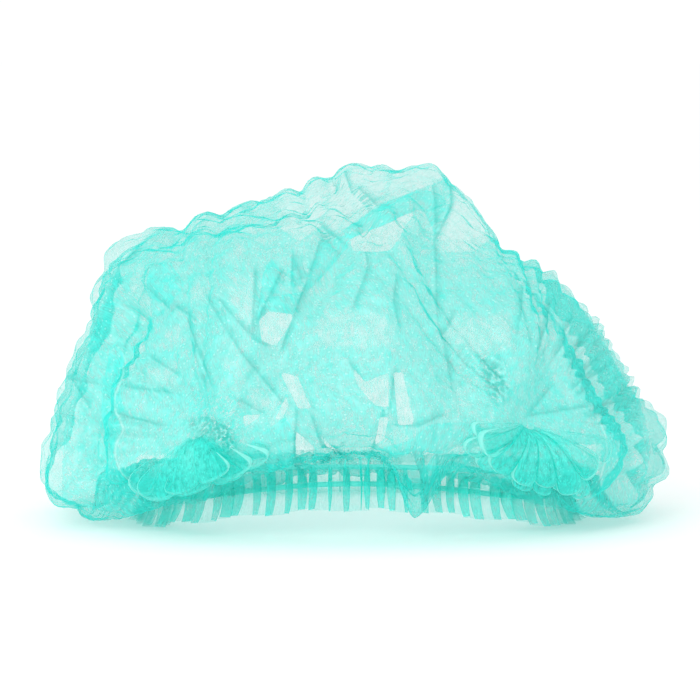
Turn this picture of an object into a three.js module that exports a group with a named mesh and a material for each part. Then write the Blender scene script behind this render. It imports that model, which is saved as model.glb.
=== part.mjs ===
// Disposable bouffant cap of thin nonwoven cloth, puffed open and standing on its own rim.
// Millimetres, +Z up, +X to the wearer's left as seen from the front, the front towards -Y.
// The origin is on the resting plane, under the middle of the cap.
import * as THREE from "three";
import { ParametricGeometry } from "three/addons/geometries/ParametricGeometry.js";

// Driving sizes
const CLOTH = 1.6; // wall of every cloth piece, measured straight out from the puffed form
const GAP = 0.3; // between two pieces that lie against each other
const GATHERS = 76; // tucks that the elastic draws into the sheet, all the way round
const GATHER_DEPTH = 2.3; // from the middle of a tuck to its crest
const ELASTIC = { radial: 3.0, high: 3.0 };
const FRILL_DEEP = 14.5; // cloth below the elastic
const FRILL_FLARE = 5; // how far the free edge spreads past the elastic
const RING_SQUARENESS = 2.25; // 2 is an ellipse, more is squarer
const RIM_ARCH = 4; // even; a higher one keeps the arch of the front nearer the middle
const APEX = { x: 15, y: 6, z: 160.5 };

// The loop of the elastic: how far it reaches each way, and how high it lies there.
const LOOP = {
  left: { reach: -93, height: 13.3 },
  right: { reach: 96, height: 13.3 },
  front: { reach: -75, height: 24 },
  back: { reach: 75, height: 13.3 },
};

// The crown in four profiles. Rows with one name make one ring of the crown: reach is along X at the sides and along
// Y at the front and back. The cloth rises from the elastic as a short neck, rolls over, sags to its lip, and from
// there puffs up to the top.
const CROWN = {
  left: [
    { ring: "neck", reach: -95, height: 21.5 },
    { ring: "roll", reach: -105, height: 24 },
    { ring: "lip", reach: -121, height: 3.4 },
    { ring: "skirt", reach: -135, height: 9 },
    { ring: "belly", reach: -140, height: 25 },
    { ring: "waist", reach: -130, height: 62 },
    { ring: "chest", reach: -118, height: 89 },
    { ring: "shoulder", reach: -114, height: 112 },
    { ring: "brow", reach: -94, height: 129 },
    { ring: "crest", reach: -46, height: 143 },
    { ring: "top", reach: -10, height: 156 },
  ],
  right: [
    { ring: "neck", reach: 98, height: 21.5 },
    { ring: "roll", reach: 108, height: 24 },
    { ring: "lip", reach: 122, height: 3.4 },
    { ring: "skirt", reach: 134, height: 11 },
    { ring: "belly", reach: 140, height: 36 },
    { ring: "waist", reach: 123, height: 62 },
    { ring: "chest", reach: 108, height: 88 },
    { ring: "shoulder", reach: 86, height: 110 },
    { ring: "brow", reach: 65, height: 127 },
    { ring: "crest", reach: 53, height: 145 },
    { ring: "top", reach: 38, height: 157 },
  ],
  front: [
    { ring: "neck", reach: -77, height: 33 },
    { ring: "roll", reach: -85, height: 38 },
    { ring: "lip", reach: -97, height: 34 },
    { ring: "skirt", reach: -105, height: 43 },
    { ring: "belly", reach: -112, height: 58 },
    { ring: "waist", reach: -110, height: 78 },
    { ring: "chest", reach: -101, height: 99 },
    { ring: "shoulder", reach: -86, height: 118 },
    { ring: "brow", reach: -65, height: 134 },
    { ring: "crest", reach: -38, height: 147 },
    { ring: "top", reach: -14, height: 157 },
  ],
  back: [
    { ring: "neck", reach: 77, height: 21.5 },
    { ring: "roll", reach: 86, height: 24 },
    { ring: "lip", reach: 98, height: 4.6 },
    { ring: "skirt", reach: 109, height: 15 },
    { ring: "belly", reach: 113, height: 38 },
    { ring: "waist", reach: 110, height: 66 },
    { ring: "chest", reach: 104, height: 93 },
    { ring: "shoulder", reach: 92, height: 115 },
    { ring: "brow", reach: 72, height: 132 },
    { ring: "crest", reach: 46, height: 146 },
    { ring: "top", reach: 24, height: 157 },
  ],
};

// The main folds of the crown, each drawn as a line across it as seen from one side. A place is [across, up] from the
// front, back, left or right, and [across, deep] from the top. Depth is out of the cloth, or into it below 0.
const FOLDS = [
  { seen: "front", from: [32, 150], to: [52, 60], wide: 13, depth: -8 }, // right edge of the front panel
  { seen: "front", from: [-2, 142], to: [-34, 66], wide: 13, depth: -7 }, // left edge of the front panel
  { seen: "front", from: [14, 140], to: [8, 62], wide: 14, depth: 5 }, // the panel itself
  { seen: "front", from: [-52, 124], to: [-54, 72], wide: 12, depth: 6 },
  { seen: "front", from: [72, 112], to: [76, 74], wide: 11, depth: 6 },
  { seen: "front", from: [-72, 62], to: [-66, 48], wide: 13, depth: -7 }, // into the left fan
  { seen: "front", from: [84, 68], to: [80, 52], wide: 13, depth: -8 }, // into the right fan
  { seen: "front", from: [26, 58], to: [28, 40], wide: 12, depth: 5 }, // tongue over the elastic
  { seen: "front", from: [-14, 58], to: [-18, 42], wide: 12, depth: 4 },
  { seen: "front", from: [-84, 112], to: [-92, 46], wide: 12, depth: -6 },
  { seen: "left", from: [-44, 112], to: [-56, 20], wide: 13, depth: 7 }, // left curtain
  { seen: "left", from: [-16, 104], to: [-20, 20], wide: 14, depth: -9 },
  { seen: "left", from: [12, 116], to: [12, 14], wide: 13, depth: 6 },
  { seen: "left", from: [42, 112], to: [48, 20], wide: 12, depth: -7 },
  { seen: "right", from: [-58, 96], to: [-56, 26], wide: 10, depth: 5 },
  { seen: "right", from: [-34, 104], to: [-32, 18], wide: 10, depth: -6 },
  { seen: "right", from: [-10, 108], to: [-8, 18], wide: 10, depth: 5 },
  { seen: "right", from: [14, 106], to: [20, 18], wide: 10, depth: -6 },
  { seen: "right", from: [40, 100], to: [48, 24], wide: 11, depth: 5 },
  { seen: "back", from: [-84, 108], to: [-92, 30], wide: 12, depth: -6 },
  { seen: "back", from: [-52, 128], to: [-60, 20], wide: 13, depth: 6 },
  { seen: "back", from: [-18, 136], to: [-24, 26], wide: 13, depth: -7 },
  { seen: "back", from: [18, 138], to: [14, 20], wide: 13, depth: 6 },
  { seen: "back", from: [46, 130], to: [52, 28], wide: 12, depth: -6 },
  { seen: "back", from: [74, 104], to: [88, 24], wide: 12, depth: 5 },
  { seen: "top", from: [-84, -18], to: [-16, -26], wide: 24, depth: -16 }, // trough behind the front panel
  { seen: "top", from: [-44, 40], to: [40, 26], wide: 18, depth: 3 },
];

// Fans of pleats at the two ends of the sheet. Each spreads from one welded point on the crown.
const FANS = [
  { name: "end_pleats_left", azimuth: 243, ring: 5.1, long: 33, from: 160, to: 335, pleats: 6 },
  { name: "end_pleats_right", azimuth: 302, ring: 5.25, long: 31, from: 185, to: 385, pleats: 7 },
];
const FAN = { hub: 5, seat: 0.3, ruffle: 2.6, lift: 3, scallop: 0.2, columnsPerPleat: 4, rows: 3 };

// Steps of each surface
const COLUMNS = 2 * GATHERS; // a crest and a valley for each tuck
const RINGS = CROWN.front.length + 1; // rings of the crown from the elastic to the apex
const FINE_ROWS = 12; // steps of the cloth above the lip
const NECK = 1 / RINGS; // level of the neck, with 0 at the elastic and 1 at the apex
const LIP = 3 / RINGS;
const SKIRT = 4 / RINGS;
const BELLY = 5 / RINGS;
const TOP = 11 / RINGS;
const LEVELS = [0, NECK, 2 * NECK];
for (let row = 0; row <= FINE_ROWS; row += 1) LEVELS.push(LIP + ((1 - LIP) * row) / FINE_ROWS);
const ROWS = LEVELS.length - 1;
const SLOPE_STEP = 0.004; // step in level and azimuth for the direction of the cloth

const CLOTH_FINISH = { color: 0x7fe6db, roughness: 0.9, metalness: 0 };
const ELASTIC_FINISH = { color: 0x15cbb8, roughness: 0.75, metalness: 0 };

const TURN = 2 * Math.PI;
const radians = THREE.MathUtils.degToRad;
const SIDES = ["left", "right", "front", "back"];

// A closed ring through four side points. It keeps to each reach, and its height eases from side to side.
function onRing(sides, azimuth, target) {
  const c = Math.cos(azimuth);
  const s = Math.sin(azimuth);
  const squared = (t) => Math.sign(t) * Math.abs(t) ** (2 / RING_SQUARENESS);
  const middle = (a, b) => (a.reach + b.reach) / 2;
  const half = (a, b) => (b.reach - a.reach) / 2;
  const alongX = c > 0 ? sides.right.height : sides.left.height;
  const alongY = s > 0 ? sides.back.height : sides.front.height;
  return target.set(
    middle(sides.left, sides.right) + half(sides.left, sides.right) * squared(c),
    middle(sides.front, sides.back) + half(sides.front, sides.back) * squared(s),
    THREE.MathUtils.lerp(alongX, alongY, s ** RIM_ARCH),
  );
}

// Each side's profile as a smooth curve from the elastic to the apex, in its own plane of reach and height.
const profiles = Object.fromEntries(
  SIDES.map((side) => {
    const seat = { reach: LOOP[side].reach, height: LOOP[side].height + ELASTIC.high / 2 + GAP };
    const apexReach = side === "left" || side === "right" ? APEX.x : APEX.y;
    const rows = [seat, ...CROWN[side], { reach: apexReach, height: APEX.z }];
    return [side, new THREE.SplineCurve(rows.map((r) => new THREE.Vector2(r.reach, r.height)))];
  }),
);

// A point of the smooth puffed form, without its folds.
function puffed(azimuth, level, target) {
  const sides = {};
  for (const side of SIDES) {
    const p = profiles[side].getPoint(THREE.MathUtils.clamp(level, 0, 1));
    sides[side] = { reach: p.x, height: p.y };
  }
  return onRing(sides, azimuth, target);
}

// Straight out from the loop of the elastic, level.
function flatOutward(azimuth) {
  const x = -LOOP.front.reach * Math.cos(azimuth);
  const y = -LOOP.left.reach * Math.sin(azimuth);
  return new THREE.Vector3(x, y, 0).normalize();
}

// The outward direction of the puffed form. It is level at the elastic and straight up at the apex.
function outward(azimuth, level) {
  const inside = Math.min(level, 1 - 3 * SLOPE_STEP);
  const across = puffed(azimuth + SLOPE_STEP, inside, new THREE.Vector3());
  across.sub(puffed(azimuth - SLOPE_STEP, inside, new THREE.Vector3()));
  const up = puffed(azimuth, inside + SLOPE_STEP, new THREE.Vector3());
  up.sub(puffed(azimuth, Math.max(inside - SLOPE_STEP, 0), new THREE.Vector3()));
  const out = flatOutward(azimuth);
  out.lerp(across.cross(up).normalize(), THREE.MathUtils.smoothstep(level, 0, 2 * NECK));
  return out.lerp(new THREE.Vector3(0, 0, 1), THREE.MathUtils.smoothstep(level, TOP, 1)).normalize();
}

// The part of a place that a fold's line is drawn in, and the way that the cloth has to face to take the fold.
const FACING = { none: 0, full: 0.8 };
const VIEWS = {
  front: { flat: (p) => new THREE.Vector2(p.x, p.z), facing: new THREE.Vector3(0, -1, 0) },
  back: { flat: (p) => new THREE.Vector2(p.x, p.z), facing: new THREE.Vector3(0, 1, 0) },
  left: { flat: (p) => new THREE.Vector2(p.y, p.z), facing: new THREE.Vector3(-1, 0, 0) },
  right: { flat: (p) => new THREE.Vector2(p.y, p.z), facing: new THREE.Vector3(1, 0, 0) },
  top: { flat: (p) => new THREE.Vector2(p.x, p.y), facing: new THREE.Vector3(0, 0, 1) },
};

// How deep one fold is at a place: full on its line, and gone about two widths away.
function foldDepth({ seen, from, to, wide, depth }, place, out) {
  const { flat, facing } = VIEWS[seen];
  const start = new THREE.Vector2(...from);
  const along = new THREE.Vector2(...to).sub(start);
  const p = flat(place);
  const t = THREE.MathUtils.clamp(p.clone().sub(start).dot(along) / along.lengthSq(), 0, 1);
  const away = p.distanceTo(start.addScaledVector(along, t)) / wide;
  const faced = THREE.MathUtils.smoothstep(out.dot(facing), FACING.none, FACING.full);
  return depth * Math.exp(-away * away) * faced;
}

// Gathers stand full at the elastic and have run out at the belly.
function gatherDepth(azimuth, level) {
  return GATHER_DEPTH * Math.cos(GATHERS * azimuth) * (1 - THREE.MathUtils.smoothstep(level, NECK, BELLY));
}

function crownPoint(azimuth, level, depth, target) {
  const out = outward(azimuth, level);
  puffed(azimuth, level, target);
  const folds = FOLDS.reduce((sum, fold) => sum + foldDepth(fold, target, out), 0);
  const share = THREE.MathUtils.smoothstep(level, NECK, LIP);
  return target.addScaledVector(out, gatherDepth(azimuth, level) + folds * share - depth);
}

// The crown: up the outer wall to the apex and down the inner wall to the same edge, as one closed skin.
function crown() {
  const loop = 2 * ROWS + 1;
  const skin = (u, v, target) => {
    const step = Math.round(v * loop);
    const inner = step <= ROWS;
    crownPoint(u * TURN, LEVELS[inner ? ROWS - step : step - ROWS - 1], inner ? CLOTH : 0, target);
  };
  return new ParametricGeometry(skin, COLUMNS, loop);
}

// A closed ring whose section is a short loop of corners.
function ringOf(corners, columns, cornerPoint) {
  const skin = (u, v, target) => {
    const corner = corners[Math.round(v * corners.length) % corners.length];
    cornerPoint(corner, u * TURN, target);
  };
  return new ParametricGeometry(skin, columns, corners.length);
}

// The frill: tucks hang from the elastic and spread a little towards the free edge, which is level where it rests.
function hemFrill() {
  const top = ELASTIC.high / 2 + GAP;
  const corners = [
    { out: CLOTH / 2, down: top, spread: 0 },
    { out: -CLOTH / 2, down: top, spread: 0 },
    { out: -CLOTH / 2, down: FRILL_DEEP, spread: 1 },
    { out: CLOTH / 2, down: FRILL_DEEP, spread: 1 },
  ];
  return ringOf(corners, COLUMNS, (corner, azimuth, target) => {
    const tuck = GATHER_DEPTH * Math.cos(GATHERS * azimuth);
    onRing(LOOP, azimuth, target);
    target.addScaledVector(flatOutward(azimuth), corner.out + tuck + corner.spread * FRILL_FLARE);
    target.z = Math.max(target.z - corner.down, 0);
  });
}

// The elastic: a band drawn round the inside of the tucks.
function elasticLoop() {
  const x = ELASTIC.radial / 2;
  const z = ELASTIC.high / 2;
  const corners = [
    { out: x, up: -z },
    { out: x, up: z },
    { out: -x, up: z },
    { out: -x, up: -z },
  ];
  return ringOf(corners, GATHERS, (corner, azimuth, target) => {
    onRing(LOOP, azimuth, target).addScaledVector(flatOutward(azimuth), corner.out);
    target.z += corner.up;
  });
}

// A place on the outer wall of the crown as built: straight between the four corners around it.
function onCrown(azimuth, level, target) {
  const column = (azimuth / TURN) * COLUMNS;
  const left = Math.floor(column);
  const above = LEVELS.findIndex((each) => each > level);
  const share = (level - LEVELS[above - 1]) / (LEVELS[above] - LEVELS[above - 1]);
  const corner = (c, row) => crownPoint((c / COLUMNS) * TURN, LEVELS[row], 0, new THREE.Vector3());
  const edge = (row) => corner(left, row).lerp(corner(left + 1, row), column - left);
  return target.copy(edge(above - 1)).lerp(edge(above), share);
}

// A fan of pleats: a ruffled leaf that lies on the crown, spreads from its welded hub to a scalloped edge, and hangs
// free where it passes the lip.
function fan({ azimuth, ring, long, from, to, pleats }) {
  const middle = radians(azimuth);
  const level = ring / RINGS;
  const apart = (a, b) => puffed(...a, new THREE.Vector3()).distanceTo(puffed(...b, new THREE.Vector3()));
  const perTurn = apart([middle, level], [middle + SLOPE_STEP, level]) / SLOPE_STEP;
  const perLevel = apart([middle, level], [middle, level - SLOPE_STEP]) / SLOPE_STEP;
  const leaf = (u, share, depth, target) => {
    const angle = radians(THREE.MathUtils.lerp(to, from, u));
    const edge = long * (1 - FAN.scallop * Math.abs(Math.cos(Math.PI * pleats * u)));
    const reach = THREE.MathUtils.lerp(FAN.hub, edge, share);
    const turned = middle + (Math.cos(angle) * reach) / perTurn;
    const raised = level + (Math.sin(angle) * reach) / perLevel;
    const held = Math.max(raised, LIP);
    const ruffle = FAN.ruffle * (1 + Math.cos(TURN * pleats * u));
    const lift = GAP + CLOTH + FAN.seat + share * (FAN.lift + ruffle);
    onCrown(turned, held, target).addScaledVector(outward(turned, Math.max(held, SKIRT)), lift - depth);
    target.z -= (held - raised) * perLevel;
  };
  const loop = 2 * FAN.rows + 2;
  const columns = pleats * FAN.columnsPerPleat;
  const skin = (u, v, target) => {
    const step = Math.round(v * loop) % loop;
    const front = step <= FAN.rows;
    const share = front ? step / FAN.rows : (loop - 1 - step) / FAN.rows;
    const closing = u < 0.5 / columns || u > 1 - 0.5 / columns;
    leaf(u, share, closing ? CLOTH / 2 : front ? 0 : CLOTH, target);
  };
  return new ParametricGeometry(skin, columns, loop);
}

function piece(name, geometry, finish) {
  const mesh = new THREE.Mesh(geometry, new THREE.MeshStandardMaterial(finish));
  mesh.name = name;
  return mesh;
}

const cap = new THREE.Group();
cap.name = "bouffant_cap";
cap.add(piece("crown", crown(), CLOTH_FINISH));
cap.add(piece("hem_frill", hemFrill(), CLOTH_FINISH));
cap.add(piece("elastic_loop", elasticLoop(), ELASTIC_FINISH));
for (const each of FANS) cap.add(piece(each.name, fan(each), CLOTH_FINISH));

// The origin goes under the middle of the whole cap.
const box = new THREE.Box3().setFromObject(cap);
const centre = box.getCenter(new THREE.Vector3());
for (const mesh of cap.children) mesh.geometry.translate(-centre.x, -centre.y, -box.min.z);

export default cap;
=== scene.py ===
# %% [markdown]
# # A disposable bouffant cap
# The cap is one thin sheet of turquoise nonwoven cloth. An elastic draws it up, it puffs out above the
# elastic, and it ends in a short frill below. The pieces made here take the places of the solids in the
# frame, in metres, with the front towards -Y.

# %% Setup
import time

import bpy
import numpy as np
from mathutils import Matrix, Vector


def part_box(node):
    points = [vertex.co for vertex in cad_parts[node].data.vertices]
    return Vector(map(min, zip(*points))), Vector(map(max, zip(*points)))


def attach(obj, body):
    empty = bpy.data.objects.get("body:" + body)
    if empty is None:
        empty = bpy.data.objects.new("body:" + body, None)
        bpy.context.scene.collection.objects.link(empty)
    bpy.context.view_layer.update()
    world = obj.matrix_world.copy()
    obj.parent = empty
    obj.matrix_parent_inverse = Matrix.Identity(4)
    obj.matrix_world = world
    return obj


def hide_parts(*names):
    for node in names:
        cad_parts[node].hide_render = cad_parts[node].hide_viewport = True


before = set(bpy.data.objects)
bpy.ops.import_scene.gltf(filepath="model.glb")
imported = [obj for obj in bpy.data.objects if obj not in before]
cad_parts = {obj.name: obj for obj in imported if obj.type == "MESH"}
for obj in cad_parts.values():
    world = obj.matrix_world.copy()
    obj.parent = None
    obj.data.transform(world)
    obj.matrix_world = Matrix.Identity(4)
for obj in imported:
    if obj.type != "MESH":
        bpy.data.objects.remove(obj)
scene = bpy.context.scene
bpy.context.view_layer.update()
MM = 0.001
FLOOR_CLEAR = 0.3  # lowest place of any cloth, in mm

# %% [markdown]
# ## The puffed form
# Four profiles, one on each side, carry the form from the elastic to the top. Each column of a table is a
# ring of the crown: its reach out from the middle and its height, in millimetres. Between the sides a ring
# follows a squared ellipse. The frame's solid is made from the same rings, so the cloth lies where the
# solid is.

# %% Profiles
RING_SQUARENESS = 2.25
RIM_ARCH = 4
APEX = (15, 6, 160.5)
LOOP = {"left": (-93, 13.3), "right": (96, 13.3), "front": (-75, 24), "back": (75, 13.3)}
SEAT = 1.8  # from the middle of the elastic up to the first of the crown
RINGS = ["neck", "roll", "lip", "skirt", "belly", "waist", "chest", "shoulder", "brow", "crest", "top"]
REACH = {
    "left": [-95, -105, -121, -135, -140, -130, -118, -114, -94, -46, -10],
    "right": [98, 108, 122, 134, 140, 123, 108, 86, 65, 53, 38],
    "front": [-77, -81, -91, -102, -111, -110, -101, -86, -65, -38, -14],
    "back": [77, 86, 98, 109, 113, 110, 104, 92, 72, 46, 24],
}
HEIGHT = {
    "left": [17, 18, 3.4, 9, 25, 62, 89, 112, 129, 143, 156],
    "right": [17, 18, 3.4, 11, 36, 62, 88, 110, 127, 145, 157],
    "front": [30, 36, 41, 48, 59, 78, 99, 118, 134, 147, 157],
    "back": [17, 17.5, 8, 17, 38, 66, 93, 115, 132, 146, 157],
}
LEVELS = len(RINGS) + 1
RING = {name: (number + 1) / LEVELS for number, name in enumerate(RINGS)}  # level of each ring


def ease(x, low, high):
    """0 below low, 1 above high, and smooth between them."""
    t = np.clip((x - low) / (high - low), 0, 1)
    return t * t * (3 - 2 * t)


def profile(side, level):
    """Reach and height of one side, on a smooth curve from level 0 at the elastic to 1 on top."""
    end = (APEX[0] if side in ("left", "right") else APEX[1], APEX[2])
    rows = np.array([(LOOP[side][0], LOOP[side][1] + SEAT), *zip(REACH[side], HEIGHT[side]), end], float)
    place = np.clip(level, 0, 1) * LEVELS
    first = np.minimum(place.astype(int), LEVELS - 1)
    t = (place - first)[..., None]
    before, start, end, after = (rows[np.clip(first + k, 0, LEVELS)] for k in (-1, 0, 1, 2))
    leave, arrive = (end - before) / 2, (after - start) / 2
    bend = 3 * (end - start) - 2 * leave - arrive
    return ((2 * (start - end) + leave + arrive) * t + bend) * t**2 + leave * t + start


print("rings", len(RINGS), "and", len(REACH), "profiles")

# %% [markdown]
# A place on the form is then an azimuth, from the right and towards the back, and a level, from 0 at the
# elastic to 1 on top. Cloth is moved out of the form along its normal. The normal is made level at the
# elastic and upright on top, so that the cloth doesn't tear there.

# %% Rings


def on_ring(sides, azimuth):
    """A place on the closed ring through four side points, each a reach and a height."""
    c, s = np.cos(azimuth), np.sin(azimuth)
    squared = lambda t: np.sign(t) * np.abs(t) ** (2 / RING_SQUARENESS)
    reach = {side: sides[side][..., 0] for side in LOOP}
    height = {side: sides[side][..., 1] for side in LOOP}
    x = (reach["left"] + reach["right"]) / 2 + (reach["right"] - reach["left"]) / 2 * squared(c)
    y = (reach["front"] + reach["back"]) / 2 + (reach["back"] - reach["front"]) / 2 * squared(s)
    along_x = np.where(c > 0, height["right"], height["left"])
    along_y = np.where(s > 0, height["back"], height["front"])
    return np.stack([x, y, along_x + (along_y - along_x) * s**RIM_ARCH], -1)


def puffed(azimuth, level):
    return on_ring({side: profile(side, level) for side in LOOP}, azimuth)


def loop_at(azimuth):
    """The middle of the elastic."""
    ones = np.ones_like(azimuth)[..., None]
    return on_ring({side: ones * np.array(LOOP[side], float) for side in LOOP}, azimuth)


def unit(v):
    return v / np.maximum(np.linalg.norm(v, axis=-1, keepdims=True), 1e-9)


def flat_outward(azimuth):
    """Straight out from the elastic, level."""
    x, y = -LOOP["front"][0] * np.cos(azimuth), -LOOP["left"][0] * np.sin(azimuth)
    return unit(np.stack([x, y, 0 * x], -1))


def outward(azimuth, level, step=0.004):
    """Out of the puffed form: level at the elastic, and straight up on top."""
    inside = np.minimum(level, 1 - 3 * step)
    across = puffed(azimuth + step, inside) - puffed(azimuth - step, inside)
    up = puffed(azimuth, inside + step) - puffed(azimuth, np.maximum(inside - step, 0))
    level_out, top = flat_outward(azimuth), np.array([0, 0, 1.0])
    out = level_out + (unit(np.cross(across, up)) - level_out) * ease(level, 0, RING["roll"])[..., None]
    return unit(out + (top - out) * ease(level, RING["top"], 1)[..., None])


# The frame's origin is under the middle of the whole cap, so the form moves by the elastic's own offset.
elastic_box = np.array(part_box("elastic_loop")) / MM
offset = elastic_box.mean(0) - [(LOOP["left"][0] + LOOP["right"][0]) / 2, 0, elastic_box.mean(0)[2]]
print("offset of the form in mm", np.round(offset, 3).tolist())

# %% [markdown]
# ## Broad folds
# Large folds are gentle waves across the cloth. Each is drawn as a line seen from one side, with a width
# and a depth, because that is how they are read off a picture of the cap. The pairs of ridges and valleys
# at the two sides make the lobes that lie one behind another there.

# %% Fold table
FACING = {"front": (0, -1, 0), "back": (0, 1, 0), "left": (-1, 0, 0), "right": (1, 0, 0), "top": (0, 0, 1)}
DRAWN = {"front": (0, 2), "back": (0, 2), "left": (1, 2), "right": (1, 2), "top": (0, 1)}
# seen from, start (across, up), end, width, depth out of the cloth
FOLDS = [
    ("front", (32, 150), (52, 60), 13, -8),
    ("front", (-2, 142), (-34, 66), 13, -7),
    ("front", (14, 140), (8, 62), 14, 5),
    ("front", (-52, 124), (-54, 72), 12, 6),
    ("front", (72, 112), (76, 74), 11, 6),
    ("front", (-72, 62), (-66, 48), 13, -7),
    ("front", (84, 68), (80, 52), 13, -8),
    ("front", (26, 58), (28, 40), 12, 5),
    ("front", (-14, 58), (-18, 42), 12, 4),
    ("front", (-84, 112), (-92, 46), 12, -6),
    ("left", (-76, 96), (-84, 24), 9, 4),
    ("left", (-56, 94), (-68, 18), 9, -10),
    ("left", (-34, 106), (-44, 16), 10, 5),
    ("left", (0, 112), (-8, 40), 9, -6),
    ("left", (20, 116), (14, 12), 12, 5),
    ("left", (44, 112), (50, 18), 12, -8),
    ("right", (-68, 92), (-70, 24), 9, 3),
    ("right", (-45, 84), (-56, 18), 8, -9),
    ("right", (-18, 104), (-26, 16), 9, 4),
    ("right", (2, 100), (-6, 16), 8, -8),
    ("right", (16, 106), (20, 16), 10, 5),
    ("right", (42, 100), (50, 22), 11, -6),
    ("back", (-84, 108), (-92, 30), 12, -6),
    ("back", (-52, 128), (-60, 20), 13, 6),
    ("back", (-18, 136), (-24, 26), 13, -7),
    ("back", (18, 138), (14, 20), 13, 6),
    ("back", (46, 130), (52, 28), 12, -6),
    ("back", (74, 104), (88, 24), 12, 5),
    ("top", (-84, -18), (-16, -26), 24, -5),
    ("top", (-44, 40), (40, 26), 18, 3),
]


def from_line(places, a, b):
    """Distance of each place from the line between two others, as seen from one side."""
    t = np.clip((places - a) @ (b - a) / ((b - a) @ (b - a)), 0, 1)
    return np.linalg.norm(places - a - t[..., None] * (b - a), axis=-1)


def fold_depth(points, out):
    depth = np.zeros(points.shape[:-1])
    for seen, start, end, wide, deep in FOLDS:
        away = from_line(points[..., list(DRAWN[seen])], np.array(start, float), np.array(end, float))
        depth += deep * np.exp(-((away / wide) ** 2)) * ease(out @ np.array(FACING[seen], float), 0, 0.8)
    return depth


print("broad folds", len(FOLDS))

# %% [markdown]
# ## Lobes and pleats
# The sheet was folded like an accordion and its two ends were welded, so pleats spread over the cloth from
# each welded end. Where they pass over the edge of the cap they show as lobes: wide ones on the left and on
# top, small ruffles on the right. A lobe is round outside with a crease between it and the next, so its
# wave is the size of a sine.

# %% Lobes and pleats
LOBE_MIDDLE = (-5, 42)  # across and up, where the lobes point from
LOBES = (29, 4.2)  # in a turn, and their height
# across, up, pleats in a turn, height, from where they begin to where they are full, and their directions
# in degrees
HUBS = {"left": (-66, 46, 26, 2.6, (8, 40), (40, 235)), "right": (80, 50, 44, 3.6, (10, 46), (-22, 150))}


def in_sector(turn, sector, soft=14):
    """1 inside a sector of directions, easing to 0 at its two ends."""
    away = np.abs((np.degrees(turn) - np.mean(sector) + 180) % 360 - 180)
    return 1 - ease(away, np.ptp(sector) / 2 - soft, np.ptp(sector) / 2)


def lobes(points, out):
    """Height and creases of the lobes on cloth seen edge-on, except where the right end's pleats are."""
    turn = np.arctan2(points[..., 2] - LOBE_MIDDLE[1], points[..., 0] - LOBE_MIDDLE[0])
    wander = 1.6 * np.sin(3 * turn + 1) + np.sin(7 * turn) + 0.5 * np.sin(13 * turn + 2)
    wander = wander + 0.25 * np.sin(points[..., 1] / 21)
    edge_on = 1 - ease(np.abs(out[..., 1]), 0.25, 0.8)
    wave = np.abs(np.sin(LOBES[0] / 2 * turn + wander))
    share = edge_on * (1 - in_sector(turn, (-5, 72)))
    height = LOBES[1] * (wave - 2 / np.pi) * share * (0.7 + 0.45 * np.sin(5 * turn + 2))
    return height, (1 - ease(wave, 0, 0.2)) * share


def pleats(points, out):
    """Pleats that spread over the front from the two welded ends."""
    height = np.zeros(points.shape[:-1])
    for x, z, count, high, begin, sector in HUBS.values():
        dx, dz = points[..., 0] - x, points[..., 2] - z
        turn = np.arctan2(dz, dx)
        share = ease(np.hypot(dx, dz), *begin) * in_sector(turn, sector) * ease(-out[..., 1], -0.6, -0.2)
        wave = np.abs(np.sin(count / 2 * turn + 0.8 * np.sin(3 * turn) + 0.5 * np.sin(8 * turn))) - 2 / np.pi
        height += high * share * wave * (0.8 + 0.4 * np.sin(9 * turn))
    return height


print("lobes in a turn", LOBES[0], "pleats in a turn", {side: hub[2] for side, hub in HUBS.items()})

# %% [markdown]
# ## Panels of doubled cloth
# On the front the loose cloth lies in flat panels, doubled or tripled over itself, with straight folded
# edges. Between them are windows where a single layer is stretched, and thin places with fewer layers. They
# are drawn here as seen from the front. The material is as dense as the layers there, and the cloth stands
# out a little at a panel and sinks in at a window.

# %% Panel tables
# Each is a polygon of places across and up, in mm, on the front.
BODY = [[
    (-130, 12), (-129, 45), (-122, 71), (-115, 93), (-108, 114), (-102, 122), (-90, 131), (-68, 138),
    (-37, 145), (-34, 136), (-24, 130), (-14, 136), (-7, 132), (10, 144), (30, 151), (43, 155), (45, 144),
    (36, 131), (36, 124), (54, 124), (62, 128), (86, 118), (103, 98), (113, 82), (121, 68), (130, 54),
    (133, 34), (128, 12), (0, 0),
]]
PANELS = [
    [(-36, 123), (-31, 117), (-37, 104), (-41, 99), (-39, 117)],
    [(-27, 124), (-22, 112), (-27, 112)],
    [(-21, 111), (-14, 129), (-7, 132), (-2, 128), (-14, 115), (-22, 108)],
    [(-38, 107), (-22, 109), (-26, 100), (-37, 103)],
    [(-113, 83), (-103, 89), (-100, 83), (-102, 63), (-100, 58), (-103, 54), (-105, 39), (-110, 43),
     (-112, 61)],
    [(-43, 49), (-29, 57), (-25, 50), (-26, 39), (-32, 28), (-49, 34), (-50, 43)],
    [(-5, 134), (10, 144), (30, 151), (43, 154), (44, 144), (37, 130), (32, 141), (28, 143), (-2, 131)],
    [(10, 43), (32, 56), (54, 53), (57, 47), (40, 43), (27, 49), (18, 45)],
    [(-94, 120), (-81, 120), (-74, 111), (-81, 102), (-89, 105)],
    [(-69, 48), (-54, 46), (-57, 41), (-64, 43)],
]
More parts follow.
